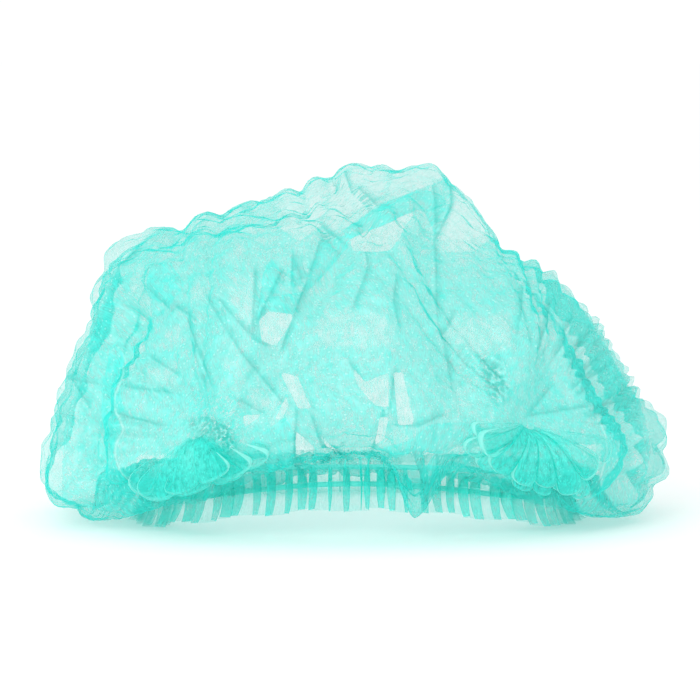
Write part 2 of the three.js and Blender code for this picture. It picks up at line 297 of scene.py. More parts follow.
WINDOWS = [
    [(-41, 98), (-37, 102), (-26, 100), (-29, 94), (-34, 87), (-40, 90)],
    [(-32, 76), (-24, 74), (-18, 61), (-24, 61), (-29, 70)],
    [(-29, 66), (-28, 62), (-31, 56), (-34, 56)],
    [(-48, 58), (-39, 58), (-47, 53)],
    [(-25, 51), (-17, 43), (-17, 32), (-25, 39)],
    [(-18, 58), (-15, 50), (-4, 36), (-12, 43)],
    [(-47, 42), (-38, 43), (-38, 38), (-46, 39)],
    [(-2, 131), (28, 143), (16, 127), (0, 127)],
    [(-2, 81), (5, 73), (15, 77), (15, 62), (9, 63), (2, 71)],
    [(17, 77), (21, 77), (26, 57), (19, 55)],
    [(11, 58), (15, 58), (13, 47), (9, 44)],
    [(16, 42), (25, 48), (31, 39), (27, 36), (18, 40)],
    [(29, 49), (35, 45), (31, 43)],
]
THIN = [
    [(-17, 94), (-8, 102), (15, 101), (19, 96), (15, 87), (-1, 87), (-16, 86)],
    [(38, 89), (45, 99), (68, 99), (68, 87), (54, 84)],
    [(42, 70), (47, 60), (57, 53), (54, 57), (47, 68)],
    [(-60, 113), (-44, 115), (-44, 98), (-49, 98)],
    [(-89, 76), (-78, 76), (-78, 68), (-89, 70)],
    [(-70, 112), (-63, 114), (-64, 106), (-71, 106)],
    [(-83, 92), (-76, 93), (-76, 85), (-83, 86)],
    [(-45, 69), (-33, 64), (-39, 58), (-48, 63)],
    [(125, 56), (131, 52), (131, 41), (126, 41)],
]
print("panels", len(PANELS), "windows", len(WINDOWS), "thin places", len(THIN))

# %% [markdown]
# ## Creases, tucks and welds
# Nonwoven cloth keeps a crease where it was folded. Each is a run of places, with the fold's shade painted on
# its left. A tuck is a longer contour, where the cloth behind goes under a fold. At a weld hot jaws pressed
# the layers together, and the cloth round it is crushed.

# %% Crease tables
# Sharp creases, each a run of places.
CREASES = [
    [(-43, 118), (-44, 91)], [(-32, 117), (-41, 99)], [(-27, 124), (-27, 114)], [(-26, 123), (-22, 112)],
    [(-15, 130), (-22, 110), (-31, 87)], [(-63, 106), (-48, 84), (-31, 63)],
    [(-58, 106), (-43, 90), (-39, 88)], [(-70, 87), (-65, 72)], [(-49, 64), (-40, 59)],
    [(-13, 160), (-9, 152)], [(-4, 158), (-1, 150), (6, 144)], [(3, 151), (9, 146)],
    [(-14, 136), (-7, 130)], [(5, 128), (6, 120), (0, 105)], [(18, 115), (17, 106), (19, 97)],
    [(36, 151), (36, 114), (36, 98), (39, 87), (42, 70)], [(44, 156), (44, 145), (37, 131)],
    [(17, 77), (15, 61)], [(-2, 81), (6, 68), (14, 62)], [(12, 59), (8, 43)], [(19, 55), (38, 58)],
    [(26, 47), (31, 36)], [(-25, 59), (-26, 43), (-24, 30)], [(-18, 57), (-14, 44), (-3, 37)],
    [(39, 91), (44, 99)], [(-90, 108), (-81, 101)], [(-78, 102), (-70, 98)],
    [(-72, 96), (-67, 84), (-62, 72)], [(-87, 79), (-78, 74)], [(-99, 67), (-80, 65)],
    [(-126, 67), (-116, 66)], [(-125, 65), (-119, 57)], [(-97, 134), (-92, 130), (-103, 120)],
    [(78, 57), (86, 66)], [(77, 55), (103, 58)], [(98, 67), (108, 74)], [(100, 64), (114, 72)],
    [(96, 76), (106, 86)], [(90, 82), (98, 94)], [(82, 88), (88, 101)], [(72, 94), (75, 108)],
    [(104, 54), (122, 57)], [(-86, 52), (-104, 56)],
]
# Contours where the cloth behind goes under a fold; the tucked cloth and a painted shade lie on their left.
TUCKS = [
    [(-92, 19), (-96, 23), (-102, 30), (-105, 37), (-104, 43), (-101, 49), (-104, 56), (-104, 63), (-101, 73),
     (-104, 84)],
    [(104, 57), (108, 53), (111, 46), (112, 39), (111, 33), (108, 23), (104, 19)],
]
# Where the layers are pressed together by the weld, and the crushed cloth round it.
WELDS = [
    [(-76, 53), (-64, 57), (-54, 54), (-50, 46), (-57, 40), (-66, 46)],
    [(54, 82), (62, 82), (68, 67), (63, 60), (57, 68)],
]
CRUSHED = [
    [(-72, 68), (-50, 70), (-46, 52), (-54, 42), (-66, 44), (-74, 52)],
    [(46, 86), (61, 86), (68, 68), (66, 56), (58, 60), (48, 72)],
]
print("creases", len(CREASES), "tucks", len(TUCKS), "welds", len(WELDS))

# %% [markdown]
# The tables become distances at each point of a mesh. A distance runs evenly between two points, so an edge
# drawn where it is zero stays crisp, however coarse the mesh is.

# %% Distances
REACH_IN = 5.0  # mm, the farthest a point counts as inside or outside


def inside(places, polygons):
    """How far inside the nearest polygon each place is, in mm, plus REACH_IN: 0 is well outside."""
    deepest = np.full(places.shape[:-1], -REACH_IN)
    for polygon in polygons:
        corners = np.array(polygon, float)
        away, within = np.full(deepest.shape, np.inf), np.zeros(deepest.shape, bool)
        for a, b in zip(corners, np.roll(corners, -1, axis=0)):
            away = np.minimum(away, from_line(places, a, b))
            crosses = (a[1] > places[..., 1]) != (b[1] > places[..., 1])
            rise = np.where(b[1] == a[1], 1e-9, b[1] - a[1])
            within ^= crosses & (places[..., 0] < (b[0] - a[0]) * (places[..., 1] - a[1]) / rise + a[0])
        deepest = np.maximum(deepest, np.where(within, away, -away))
    return np.minimum(deepest, REACH_IN) + REACH_IN


def beside(places, runs, reach=REACH_IN):
    """How near each place is to the nearest run, up to reach, and its signed distance beside that run."""
    near, side = np.full(places.shape[:-1], reach), np.full(places.shape[:-1], reach)
    for run in runs:
        for a, b in zip(np.array(run[:-1], float), np.array(run[1:], float)):
            away = from_line(places, a, b)
            sign = np.sign((places - a) @ np.array([a[1] - b[1], b[0] - a[0]]))
            side = np.where(away < near, away * sign, side)
            near = np.minimum(away, near)
    return reach - near, side


def keep(mesh, name, values):
    """Stores a number, or a vector of three, for each point of a mesh."""
    values = np.asarray(values, np.float32)
    vector = values.shape[-1] == 3
    layer = mesh.attributes.new(name, "FLOAT_VECTOR" if vector else "FLOAT", "POINT")
    layer.data.foreach_set("vector" if vector else "value", values.ravel())


print("distances count up to", REACH_IN, "mm")

# %% [markdown]
# ## The crown's net
# The crown is a square net of cloth laid over the form with its edge on the elastic, so the top has no pole
# where lines would meet. It is built twice: a coarse net for the cloth simulation, and one twice as fine
# for the finished mesh.

# %% Crown net
NET = 156
FLAT_RADIUS = 0.265  # of the sheet before it was gathered, in metres


def net(cells):
    """Azimuth, level and place in the flat sheet of a square net, with its edge on the elastic."""
    q = np.linspace(-1, 1, cells + 1)
    a, b = np.meshgrid(q, q)
    u, v = a * np.sqrt(1 - b * b / 2), b * np.sqrt(1 - a * a / 2)
    radius = np.clip(np.hypot(u, v), 0, 1)
    levels = np.linspace(0, 1, 400)
    walk = np.zeros_like(levels)
    for side in LOOP:
        walk[1:] += np.cumsum(np.linalg.norm(np.diff(profile(side, levels), axis=0), axis=1)) / 4
    level = np.interp(1 - radius, walk / walk[-1], levels)
    return np.arctan2(v, u), level, np.stack([u, v], -1) * FLAT_RADIUS


def crown_form(azimuth, level, pleated=True):
    """The crown with its folds and, unless the net is coarse, its lobes and pleats; and the way out of it."""
    base, out = puffed(azimuth, level), outward(azimuth, level)
    height = fold_depth(base, out)
    if pleated:
        height = height + lobes(base, out)[0] + pleats(base, out)
    return base + out * (height * ease(level, RING["neck"], RING["lip"]))[..., None], out


def sheet_mesh(name, grid, flat):
    """A mesh of a grid of points in mm, with places in the flat sheet, in metres, as its UV map."""
    rows, columns = grid.shape[:2]
    index = np.arange(rows * columns).reshape(rows, columns)
    quads = np.stack([index[:-1, :-1], index[:-1, 1:], index[1:, 1:], index[1:, :-1]], -1).reshape(-1, 4)
    mesh = bpy.data.meshes.new(name)
    mesh.from_pydata((grid.reshape(-1, 3) * MM).tolist(), [], quads.tolist())
    layer = mesh.uv_layers.new(name="cloth")
    layer.data.foreach_set("uv", flat.reshape(-1, 2)[quads.reshape(-1)].astype(np.float32).ravel())
    mesh.polygons.foreach_set("use_smooth", np.ones(len(mesh.polygons), bool))
    mesh.update()
    obj = bpy.data.objects.new(name, mesh)
    scene.collection.objects.link(obj)
    return obj


azimuth, level, flat = net(NET)
coarse_form = crown_form(azimuth, level, pleated=False)[0]
coarse = sheet_mesh("coarse_net", coarse_form + offset, flat)
print("coarse net", coarse_form.shape)

# %% [markdown]
# ## Letting the cloth settle
# A real cap holds far more cloth than its puffed outline needs, so it crumples. The coarse net is told that
# it is too large for its place and then moves freely between soft pins, which makes the small sharp
# wrinkles of nonwoven cloth. The elastic holds its edge. Only the wrinkles are kept: the move of each
# point, and no more than a few millimetres.

# %% Cloth
EXCESS = 0.12  # share by which the cloth is too long for its place
SOFT_PIN = 0.5
FRAMES = 20
LONGEST_MOVE = 14  # mm


def settle(obj, held):
    """Runs cloth on obj with pin weights held, and returns how far each point moved, in mm."""
    places = np.zeros((2, len(obj.data.vertices) * 3), np.float32)
    obj.data.vertices.foreach_get("co", places[0])
    group = obj.vertex_groups.new(name="held")
    steps = np.round(held * 20).astype(int)
    for step in range(1, 21):
        group.add(np.flatnonzero(steps == step).tolist(), step / 20, "REPLACE")
    cloth = obj.modifiers.new("cloth", "CLOTH")
    cloth.settings.quality = 5
    cloth.settings.mass = 0.02
    cloth.settings.tension_stiffness = 15
    cloth.settings.compression_stiffness = 15
    cloth.settings.shear_stiffness = 8
    cloth.settings.bending_stiffness = 0.4
    cloth.settings.air_damping = 2
    cloth.settings.vertex_group_mass = "held"
    cloth.settings.pin_stiffness = 1.0
    cloth.settings.shrink_min = -EXCESS
    cloth.settings.effector_weights.gravity = 0
    cloth.collision_settings.use_collision = False
    cloth.collision_settings.use_self_collision = False
    cloth.point_cache.frame_end = FRAMES
    for number in range(1, FRAMES + 1):
        scene.frame_set(number)
    settled = obj.evaluated_get(bpy.context.evaluated_depsgraph_get())
    settled.data.vertices.foreach_get("co", places[1])
    scene.frame_set(1)
    move = (places[1] - places[0]).reshape(-1, 3) / MM
    far = np.linalg.norm(move, axis=1, keepdims=True)
    return move * np.minimum(1, LONGEST_MOVE / np.maximum(far, 1e-9))


began = time.time()
rim = np.clip(level / (1.5 * RING["neck"]), 0, 1).ravel()
wrinkles = settle(coarse, 1 - (1 - SOFT_PIN) * rim).reshape(coarse_form.shape)
bpy.data.objects.remove(coarse)
moved = np.linalg.norm(wrinkles, axis=-1)
print("settled in", round(time.time() - began, 1), "s; mean and largest move in mm",
      np.round([moved.mean(), moved.max()], 2).tolist())

# %% [markdown]
# ## Gathers
# At the elastic the cloth is pleated into narrow bars of three layers, with a flat window between each two.
# The bars are tight at the elastic and open out above and below it. One rule gives the move along the
# elastic, which folds the cloth back over itself, and the move out of it, which keeps the three layers
# apart.

# %% Gathers
GATHERS = 76
FOLDED_BACK = 2.5  # how strongly a bar is drawn together: above 1 the cloth doubles back
BAR_HEIGHT = 4.4  # mm, between the outer and the inner layer of a bar
CLOTH_OUT = 3.6  # mm, from the middle of the elastic to the cloth over it
CLOSER_IN_FRONT = 0.15  # share by which the bars of the front stand closer together
turns = np.linspace(-2 * np.pi, 4 * np.pi, 2161)
walked = np.append(0, np.cumsum(np.linalg.norm(np.diff(loop_at(turns), axis=0), axis=1)))
walked = 6 * np.pi * walked / walked[-1] - 2 * np.pi  # the way round the elastic, as a turn
pitch = np.linalg.norm(np.diff(loop_at(turns[:721]), axis=0), axis=1).sum() / GATHERS


def gather_phase(azimuth):
    """Grows by a turn for each bar. The bars aren't evenly spaced."""
    t = np.interp(azimuth, turns, walked)
    evenly = GATHERS * (t + CLOSER_IN_FRONT * np.cos(t))
    return evenly + np.sin(5 * t + 1) + 0.9 * np.sin(17 * t) + 0.8 * np.sin(31 * t)


def bar_height(azimuth):
    return BAR_HEIGHT * (1 + 0.2 * np.sin(7 * azimuth + 2) + 0.15 * np.sin(23 * azimuth))


def pleat_way(azimuth):
    """1 on the right half and -1 on the left: the way the bars fold. It changes where no cloth is moved."""
    first, last = (np.pi * np.ceil(gather_phase(side * np.pi / 2) / np.pi) for side in (-1, 1))
    phase = gather_phase((azimuth + np.pi) % (2 * np.pi) - np.pi)
    return np.where((phase >= first) & (phase < last), 1.0, -1.0)


def in_bar(azimuth):
    """Whether the cloth there is drawn into a bar."""
    return pleat_way(azimuth) * np.cos(gather_phase(azimuth)) < -0.15


print("gathers", GATHERS, "mean pitch in mm", round(pitch, 2))

# %% [markdown]
# ## The crown's cloth
# The fine net takes the form and the wrinkles of the simulation. Round a welded end the cloth is held flat,
# because the petals of the pleated end lie on it there.

# %% Crown form
FAN_SPREAD = 30  # mm round a welded end where the cloth is held flat


def refine(grid):
    """The same grid with twice as many cells, smoothed as a subdivision surface is."""
    for axis in (0, 1):
        grid = np.moveaxis(grid, axis, 0)
        fine = np.repeat(grid, 2, axis=0)[:-1]
        fine[1::2] = (grid[:-1] + grid[1:]) / 2
        fine[2:-2:2] = (grid[:-2] + 6 * grid[1:-1] + grid[2:]) / 8
        grid = np.moveaxis(fine, 0, axis)
    return grid


azimuth, level, flat = net(2 * NET)
form, out = crown_form(azimuth, level)
across, up, front = form[..., 0], form[..., 2], -out[..., 1]
under_fan, covered, round_end = np.zeros((3, *level.shape))
for x, z, *_ in HUBS.values():
    near_end = np.exp(-((np.hypot(across - x, up - z + 12) / FAN_SPREAD) ** 4)) * ease(front, 0, 0.4)
    under_fan += near_end
    covered += near_end * (up < z - 8)
    round_end += np.exp(-((np.hypot(across - x, up - z - 8) / 24) ** 2)) * ease(front, 0, 0.4)
points = form + refine(wrinkles) * (1 - 0.8 * under_fan)[..., None] - out * (3 * under_fan)[..., None]
print("crown net", points.shape, "under the pleated ends", int((under_fan > 0.5).sum()), "points")

# %% [markdown]
# ## What is drawn on the crown
# Each point keeps a few numbers for the material: how far it is inside a panel, a window or a weld, how far
# beside a crease or a tuck, and how many more layers are heaped on it. Cloth that faces away from the front
# is one spread layer. The facets are coordinates for a pattern of flat places, bent a little so that no two
# are alike.

# %% Crown marks
TUCK_WIDE = 24.0  # mm, how far tucked cloth reaches back from a contour
FACETS_ROUND, FACETS_UP = 34, 4.2  # flat places round the crown and up it
drawn, on_front = points[..., [0, 2]], ease(front, 0.25, 0.5)
tables = {"panel": PANELS, "window": WINDOWS, "thin": THIN, "weld": WELDS, "crushed": CRUSHED}
marks = {name: inside(drawn, table) * on_front for name, table in tables.items()}
marks["body"] = inside(drawn, BODY) * (covered < 0.4)
turned_away = 0.8 * (1 - ease(front - 0.4 * ease(across, 20, 80), -0.8, 0))
marks["spread"] = np.maximum(turned_away, ease(out[..., 2], 0.88, 0.99))
near, marks["crease_side"] = beside(drawn, CREASES)
marks["crease_near"] = near * ease(front, 0, 0.2)
near, marks["tuck_side"] = beside(drawn, TUCKS, TUCK_WIDE)
tips = np.array([run[end] for run in TUCKS for end in (0, -1)], float)
from_tip = np.linalg.norm(drawn[..., None, :] - tips, axis=-1).min(-1)
marks["tuck_near"] = ease(near, 0, 4) * ease(from_tip, 0, 12) * ease(front, -0.3, 0)
risen = ease(level, RING["lip"], RING["belly"])
sides = ease(np.abs(across), 30, 60) * (1 - ease(up, 105, 125)) * ease(front, 0, 0.4)
lobe_creases = lobes(puffed(azimuth, level), out)[1]
marks["heap"] = 1.2 * lobe_creases * risen + (0.6 * sides + 0.9 * round_end) * (covered < 0.4)
facet_sizes = np.array([FACETS_ROUND, FACETS_ROUND, 2 * np.pi * FACETS_UP]) / (2 * np.pi)
facet = np.stack([np.cos(azimuth), np.sin(azimuth), level], -1) * facet_sizes
bend = np.sin(2.1 * np.roll(facet, 1, -1) + 1.3 * np.roll(facet, 2, -1) + np.arange(3))
marks["facet"] = facet + 0.35 * bend + 0.6
print("marks on the crown:", ", ".join(marks))

# %% [markdown]
# ## Finishing the crown
# The panels stand out and the windows sink in, the gathers fold the cloth back near the elastic, and the
# front edge sags: a tongue of cloth hangs over the elastic, and at the sides the edge hangs almost to the
# floor. At the hem the bars of the gathers are what is drawn, in place of the panels.

# %% Crown mesh
# across, half width, drop in mm
SAGS = [(-58, 22, 12), (27, 9, 23), (76, 16, 6)]


def sag(points, front, level):
    """How far the front edge of the crown hangs down."""
    share = np.exp(-(((level - RING["lip"]) * LEVELS / 1.3) ** 2)) * ease(front, 0, 0.4)
    return sum(drop * np.exp(-(((points[..., 0] - x) / wide) ** 2)) for x, wide, drop in SAGS) * share


relief = ease(marks["panel"], 3, 7) - ease(marks["window"], 3, 7)
points = points + out * (1.5 * relief * on_front)[..., None]
phase, level_out = gather_phase(azimuth), flat_outward(azimuth)
tight = 1 - ease(level, 0, RING["lip"])
pull = pleat_way(azimuth) * FOLDED_BACK * tight * pitch * np.sin(phase) / (2 * np.pi)
near = 1 - ease(level, RING["neck"], RING["skirt"])
rise = (CLOTH_OUT + 0.8 + bar_height(azimuth) / 2 * np.sin(phase)) * near
points = points + np.cross(np.array([0, 0, 1.0]), level_out) * pull[..., None] + level_out * rise[..., None]
points[..., 2] = np.maximum(points[..., 2] - sag(form, front, level), FLOOR_CLEAR)
crown = sheet_mesh("crown_cloth", points + offset, flat)

hem = level < RING["lip"] * (0.6 + 0.2 * np.sin(across / 13) + 0.2 * np.sin(across / 5.3 + 1))
for name in ("body", "panel"):
    marks[name] = np.where(hem, 0, marks[name])
marks["heap"] = np.where(hem, 3.1 * in_bar(azimuth) * ease(-np.sin(azimuth), 0.3, 0.7), marks["heap"])
marks["petal_way"] = 1.0 * (hem & in_bar(azimuth))
loose = np.where(front > -0.3, ease(marks["body"], 4, 6), 1) * (1 - 0.8 * ease(up, 112, 138))
marks["bunched"] = (0.4 + 0.6 * ease(np.abs(front), 0.3, 0.6)) * risen * loose
for name, values in marks.items():
    keep(crown.data, name, values)
print("crown cloth", len(crown.data.polygons), "faces")

# %% [markdown]
# ## A small function for nodes
# Both the shapes made by Geometry Nodes and the materials need nodes, so one function adds a node of any
# kind, gives it its settings, and links what feeds it.

# %% Nodes
MATH, VECTOR_MATH, COMBINE = "ShaderNodeMath", "ShaderNodeVectorMath", "ShaderNodeCombineXYZ"
NAMED, STORE = "GeometryNodeInputNamedAttribute", "GeometryNodeStoreNamedAttribute"


def add(tree, kind, *fed, out=0, **settings):
    """Adds a node and returns one of its outputs. Settings in lower case are the node's own. The other
    settings, and what is fed in order, go to its sockets: an output is linked, and a plain value becomes
    the socket's own."""
    node = tree.nodes.new(kind)
    for name, value in settings.items():
        if name[0].islower():
            setattr(node, name, value)
    feeds = list(zip((socket for socket in node.inputs if socket.enabled), fed))
    named = {name.replace("_", " "): value for name, value in settings.items() if name[0].isupper()}
    feeds += [(node.inputs[name], value) for name, value in named.items()]
    for socket, value in feeds:
        if isinstance(value, bpy.types.NodeSocket):
            tree.links.new(value, socket)
        else:
            socket.default_value = value
    outputs = [socket for socket in node.outputs if socket.enabled]
    return node.outputs[out] if isinstance(out, str) else outputs[out] if outputs else node


print("nodes are ready to be added")

# %% [markdown]
# ## The loop's rails
# The frill and the elastic both follow the loop of the elastic, so Geometry Nodes make them. The loop goes
# in as a ring of edges that carries, at each point, its way out and along and the moves of the gathers
# there.

# %% Rails
FRILL_TOP = 8  # mm above the middle of the elastic, behind the crown's edge
FRILL_DEEP = 14.5  # mm below it
FRONT_SHORTER = 4  # mm by which the frill is shorter in front
GATHERED = 2.2  # mm of cut cloth on each mm of elastic
EDGE_WAVE = 1.5  # mm, in and out along the free edge
COLUMNS_A_GATHER = 24


def rails():
    """The loop of the elastic as a ring of edges, in metres, and its length."""
    count = GATHERS * COLUMNS_A_GATHER
    turn = np.linspace(0, 2 * np.pi, count, endpoint=False)
    places, way = (loop_at(turn) + offset) * MM, flat_outward(turn)
    mesh = bpy.data.meshes.new("loop_rails")
    mesh.from_pydata(places.tolist(), [(i, (i + 1) % count) for i in range(count)], [])
    steps = np.linalg.norm(np.diff(places, axis=0, prepend=places[-1:]), axis=1)
    phase, bar = gather_phase(turn), in_bar(turn)
    deep = (FRILL_DEEP - FRONT_SHORTER * ease(-np.sin(turn), 0.2, 0.8)) * MM
    carried = {
        "place": places, "way_out": way, "way_along": np.cross(np.array([0, 0, 1.0]), way),
        "deep": deep, "cut": GATHERED * np.cumsum(steps), "folded": 1.0 * bar,
        "layers": bar * ease(-np.sin(turn), 0.3, 0.7) * (3 + 0.8 * np.sin(0.31 * phase + 2)),
        "pull": pleat_way(turn) * FOLDED_BACK * steps.sum() / GATHERS * np.sin(phase) / (2 * np.pi),
        "rise": (CLOTH_OUT + bar_height(turn) / 2 * np.sin(phase)) * MM,
        "wave": EDGE_WAVE * MM * np.sin(0.37 * phase + 1), "uneven": 0.08 * deep * np.sin(0.21 * phase),
    }
    for name, values in carried.items():
        keep(mesh, name, values)
    return mesh, float(steps.sum())


def shape_tree(name, sizes):
    """An empty tree of Geometry Nodes with named sizes as its inputs, and those inputs."""
    tree = bpy.data.node_groups.new(name, "GeometryNodeTree")
    tree.interface.new_socket("Rails", in_out="INPUT", socket_type="NodeSocketGeometry")
    for label in sizes:
        tree.interface.new_socket(label, in_out="INPUT", socket_type="NodeSocketFloat")
    tree.interface.new_socket("Finish", in_out="INPUT", socket_type="NodeSocketMaterial")
    tree.interface.new_socket("Piece", in_out="OUTPUT", socket_type="NodeSocketGeometry")
    return tree, add(tree, "NodeGroupInput").node.outputs


def end_tree(tree, geometry, finish):
    """Closes a tree: smooth faces, real geometry and the material."""
    smooth = add(tree, "GeometryNodeSetShadeSmooth", geometry)
    real = add(tree, "GeometryNodeRealizeInstances", smooth)
    add(tree, "NodeGroupOutput", add(tree, "GeometryNodeSetMaterial", real, Material=finish))


def grown(name, tree, values):
    """Runs a tree on the rails and keeps the result as a plain mesh."""
    obj = bpy.data.objects.new(name, rails()[0])
    scene.collection.objects.link(obj)
    nodes = obj.modifiers.new("grow", "NODES")
    nodes.node_group = tree
    for item in tree.interface.items_tree:
        if item.name in values:
            nodes[item.identifier] = values[item.name]
    depsgraph = bpy.context.evaluated_depsgraph_get()
    mesh = bpy.data.meshes.new_from_object(obj.evaluated_get(depsgraph), depsgraph=depsgraph,
                                           preserve_all_data_layers=True)
    obj.modifiers.remove(nodes)
    obj.data = mesh
    print(name, len(mesh.polygons), "faces from nodes")
    return obj


print("elastic", round(rails()[1] * 1000, 1), "mm round")

# %% [markdown]
# ## The frill
# The frill is the edge of the sheet below the elastic. A straight line, marked from its top to its end, is
# swept along the ring. The nodes then set each point: down by its share, out by the bar's height, and along
# by the fold, which opens towards the free edge. The bars are heaped cloth, and they thin out where they
# open.

# %% Frill sweep
FRILL_FLARE = 4  # mm out at the free edge
FRILL_OPENING = 2.0  # in depths of the frill: how slowly the folds open
frill_sizes = {
    "Top": FRILL_TOP * MM, "Flare": FRILL_FLARE * MM, "Opening": FRILL_OPENING, "Floor": FLOOR_CLEAR * MM,
}
frill_tree, size = shape_tree("hem_frill", frill_sizes)
tree = frill_tree
line = add(tree, "GeometryNodeCurvePrimitiveLine", End=(0, 0, 1))
line = add(tree, "GeometryNodeResampleCurve", line, Count=15)
share = add(tree, "GeometryNodeSplineParameter")
marked = add(tree, STORE, line, data_type="FLOAT", domain="POINT", Name="down", Value=share)
swept = add(tree, "GeometryNodeCurveToMesh", add(tree, "GeometryNodeMeshToCurve", size["Rails"]), marked)
numbers = ("down", "deep", "cut", "folded", "layers", "pull", "rise", "wave", "uneven")
at = {name: add(tree, NAMED, name, data_type="FLOAT") for name in numbers}
at |= {name: add(tree, NAMED, name, data_type="FLOAT_VECTOR") for name in ("place", "way_out", "way_along")}
print("frill sweep", len(tree.nodes), "nodes")

# %% [markdown]
# How far a point is below the elastic decides its place: the fold opens, the cloth flares out, and its edge
# waves up and down. No point goes below the floor. The heap of layers and the place in the flat sheet go to
# the material.

# %% Frill places
whole = add(tree, MATH, size["Top"], at["deep"], operation="ADD")
fall = add(tree, MATH, whole, at["down"], operation="MULTIPLY")
past = add(tree, MATH, fall, size["Top"], operation="SUBTRACT")
below = add(tree, MATH, past, at["deep"], operation="DIVIDE")  # -0.6 on top, 0 at the elastic, 1 at the edge
lower = add(tree, MATH, below, 0.0, operation="MAXIMUM")
opened = add(tree, MATH, lower, lower, operation="MULTIPLY")
spared = add(tree, MATH, below, size["Opening"], operation="DIVIDE")
spared = add(tree, MATH, spared, spared, operation="MULTIPLY")
tight = add(tree, MATH, add(tree, MATH, spared, -1.0, operation="MULTIPLY"), operation="EXPONENT")
pulled = add(tree, MATH, at["pull"], tight, operation="MULTIPLY")
out_by = add(tree, MATH, opened, size["Flare"], at["rise"], operation="MULTIPLY_ADD")
out_by = add(tree, MATH, lower, at["wave"], out_by, operation="MULTIPLY_ADD")
lift = add(tree, MATH, size["Top"], fall, operation="SUBTRACT")
lift = add(tree, MATH, lower, at["uneven"], lift, operation="MULTIPLY_ADD")
place = add(tree, VECTOR_MATH, at["way_out"], out_by, at["place"], operation="MULTIPLY_ADD")
place = add(tree, VECTOR_MATH, at["way_along"], pulled, place, operation="MULTIPLY_ADD")
place = add(tree, VECTOR_MATH, place, add(tree, COMBINE, Z=lift), operation="ADD")
lowest = add(tree, COMBINE, -10.0, -10.0, size["Floor"])
place = add(tree, VECTOR_MATH, place, lowest, operation="MAXIMUM")
laid = add(tree, "GeometryNodeSetPosition", swept, Position=place)
thinning = add(tree, MATH, opened, -0.4, 1.0, operation="MULTIPLY_ADD")
heap = add(tree, MATH, at["layers"], thinning, operation="MULTIPLY")
for name, value in (("heap", heap), ("petal_way", at["folded"])):
    laid = add(tree, STORE, laid, data_type="FLOAT", domain="POINT", Name=name, Value=value)
flat_place = add(tree, COMBINE, at["cut"], fall)
mapped = add(tree, STORE, laid, data_type="FLOAT2", domain="CORNER", Name="cloth", Value=flat_place)
end_tree(tree, mapped, size["Finish"])
print("frill tree", len(tree.nodes), "nodes")

# %% [markdown]
# ## The elastic
# The elastic is a narrow band with rounded edges, so its section is a small square with filleted corners,
# swept along the same ring.

# %% Elastic tree
elastic_sizes = {"Width": 2.4 * MM, "Corner": 0.8 * MM}
elastic_tree, size = shape_tree("elastic", elastic_sizes)
tree = elastic_tree
section = add(tree, "GeometryNodeCurvePrimitiveQuadrilateral", Width=size["Width"], Height=size["Width"])
rounded = add(tree, "GeometryNodeFilletCurve", section, mode="POLY", Count=3, Radius=size["Corner"])
swept = add(tree, "GeometryNodeCurveToMesh", add(tree, "GeometryNodeMeshToCurve", size["Rails"]), rounded)
end_tree(tree, swept, size["Finish"])
print("elastic tree", len(tree.nodes), "nodes")

# %% [markdown]
# ## The pleated ends
# At each welded end the pleats stand up from the crown as a fan of plump petals. A petal is round across
# and leans over its neighbours, and its outer end rolls under. The left end lies in three rows of few wide
# petals, one over another, and the right end in two rows of many.

# %% Fan table
# Each fan: azimuth in degrees and ring of its hub, then its rows of petals, each with its length, the
# directions from and to in degrees, the number of petals, the lift off the crown and the plumpness, in mm.
FANS = {
    "left": (243, 5.1, [
        (35, 192, 330, 5, 1.0, 6.0),
        (29, 200, 326, 3, 4.0, 6.0),
        (22, 226, 318, 2, 8.0, 5.0),
    ]),
    "right": (302, 5.25, [
        (33, 192, 356, 10, 1.0, 5.0),
        (27, 198, 342, 6, 4.0, 6.0),
    ]),
}
HUB = 3.5  # mm from the weld to the first of the petals
FAN_CLEAR = 2  # mm from the crown's form out to the petals
ROLL_SHARE = 0.3  # share of a petal's rows that roll under
petal_draw = np.random.default_rng(5)
print("petals", {side: sum(row[3] for row in rows) for side, (_, _, rows) in FANS.items()})

# %% [markdown]
# A row of petals is one grid, with a direction across and a share of the way out for each point. The
# petal's height, its reach and its roll are worked out first, and the grid is then laid on the crown's
# form. The cloth is heaped near the weld and between two petals; between them the heap is partly their
# overlap and partly painted shade.

# %% Fans


def petal_row(row):
    """Direction, reach and height of each point in a row of petals, and what its material needs."""
    long, start, end, petals, lift, plump = row
    u, v = np.meshgrid(np.linspace(0, 1, petals * 16 + 1), np.linspace(0, 1, 33))
    number = np.minimum((u * petals).astype(int), petals - 1)
    q = 2 * (u * petals - number) - 1
    size = petal_draw.uniform(0.85, 1.12, petals)[number]
    fat = plump * petal_draw.uniform(0.8, 1.2, petals)[number]
    share = np.minimum(v / (1 - ROLL_SHARE), 1)
    curl = np.clip((v - 1 + ROLL_SHARE) / ROLL_SHARE, 0, 1) * np.pi * 1.15
    leaning = (number + 0.5 + 0.5 * (q + 0.33 * np.sin(np.pi * q) * share)) / petals
    angle = np.radians(end + (start - end) * leaning)
    round_over = np.sqrt(np.maximum(1 - q * q, 0))
    edge = long * size * (0.7 + 0.3 * round_over)
    roll = 0.55 * fat * round_over + 0.4
    height = lift * share + fat * share**0.8 * round_over - roll * (1 - np.cos(curl))
    reach = HUB + (edge - HUB) * share + roll * np.sin(curl)
    inner = ease(np.minimum(u, 1 - u), 0, 0.22)
    # Heaped near the weld, and between two petals, where it is partly overlap and partly painted shade.
    heap = (2.2 * (1 - v) + 2.0 * np.abs(q) ** 6 * (1 - 0.5 * share)) * inner
    flat = 2 * (HUB + 1.3 * v * long)[..., None] * np.stack([np.cos(angle), np.sin(angle)], -1) * MM
    body = REACH_IN * (1 + 4 * (0.72 * inner - v))
    return angle, reach, height, flat, {"heap": heap, "body": body, "petal_way": 10 * v}


